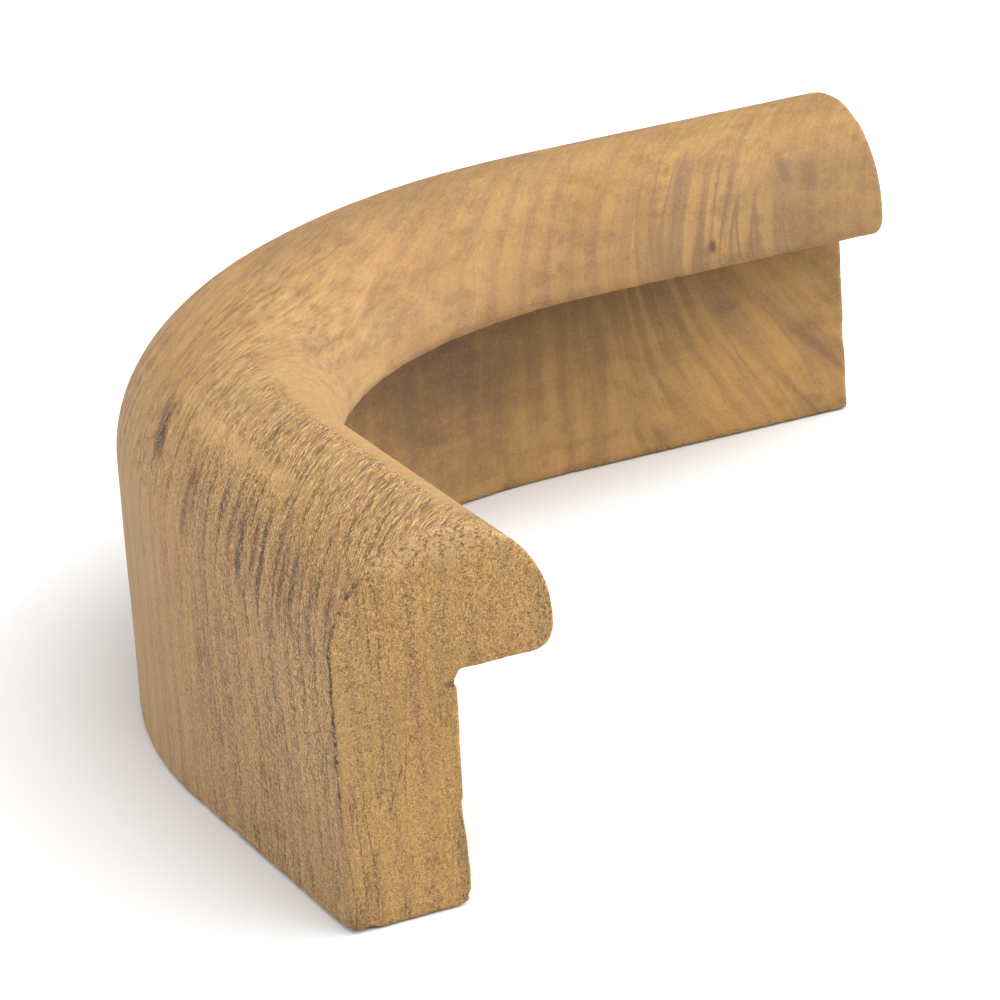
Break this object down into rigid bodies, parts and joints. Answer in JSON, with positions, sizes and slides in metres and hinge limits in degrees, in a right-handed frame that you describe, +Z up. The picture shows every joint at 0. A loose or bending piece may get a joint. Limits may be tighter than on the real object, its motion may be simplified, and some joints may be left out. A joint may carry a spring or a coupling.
{
  "type": "rail corner moulding",
  "caption": "Solid teak outside corner of L-shaped rail: two short legs joined by a quarter bend, a web below and a rounded nose that reaches inward over a rebate.",
  "frame": {"origin": "the middle of the footprint's square, on the plane that the foot stands on", "axes": "+Z up; +X out of the end of one leg; -Y out of the end of the other leg, so the outside of the bend faces -X and +Y"},
  "size_m": [0.1264, 0.1264, 0.0445],
  "materials": {
    "teak": "bare, sanded"
  },
  "bodies": {
    "root": {"corner_rail": "teak"}
  },
  "joints": []
}
